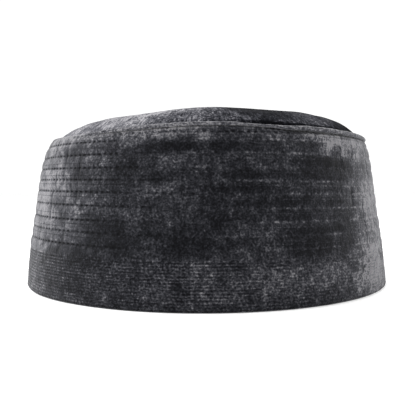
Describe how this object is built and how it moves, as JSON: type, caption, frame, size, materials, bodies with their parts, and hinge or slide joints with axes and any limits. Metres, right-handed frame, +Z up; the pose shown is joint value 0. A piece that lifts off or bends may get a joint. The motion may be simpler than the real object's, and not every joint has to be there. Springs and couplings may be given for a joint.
{
  "type": "kufi",
  "caption": "Low oval velvet cap with a quilted upright side band, a rolled seam edge and a soft, slightly domed crown panel, open underneath for the head.",
  "frame": {"origin": "middle of the rim, in the plane that the rim rests on", "axes": "+Z up through the crown, -Y towards the front of the cap, +X towards the left side of a wearer who faces -Y"},
  "size_m": [0.1738, 0.1998, 0.0797],
  "materials": {
    "velvet_band": "charcoal grey velvet, crushed, matt with a soft light edge",
    "velvet_edge": "charcoal grey velvet, rolled seam edge, paler where the pile opens",
    "velvet_crown": "charcoal grey velvet, smooth pile"
  },
  "bodies": {
    "root": {"side_band": "velvet_band", "edge_welt": "velvet_edge", "crown_top": "velvet_crown"}
  },
  "joints": []
}
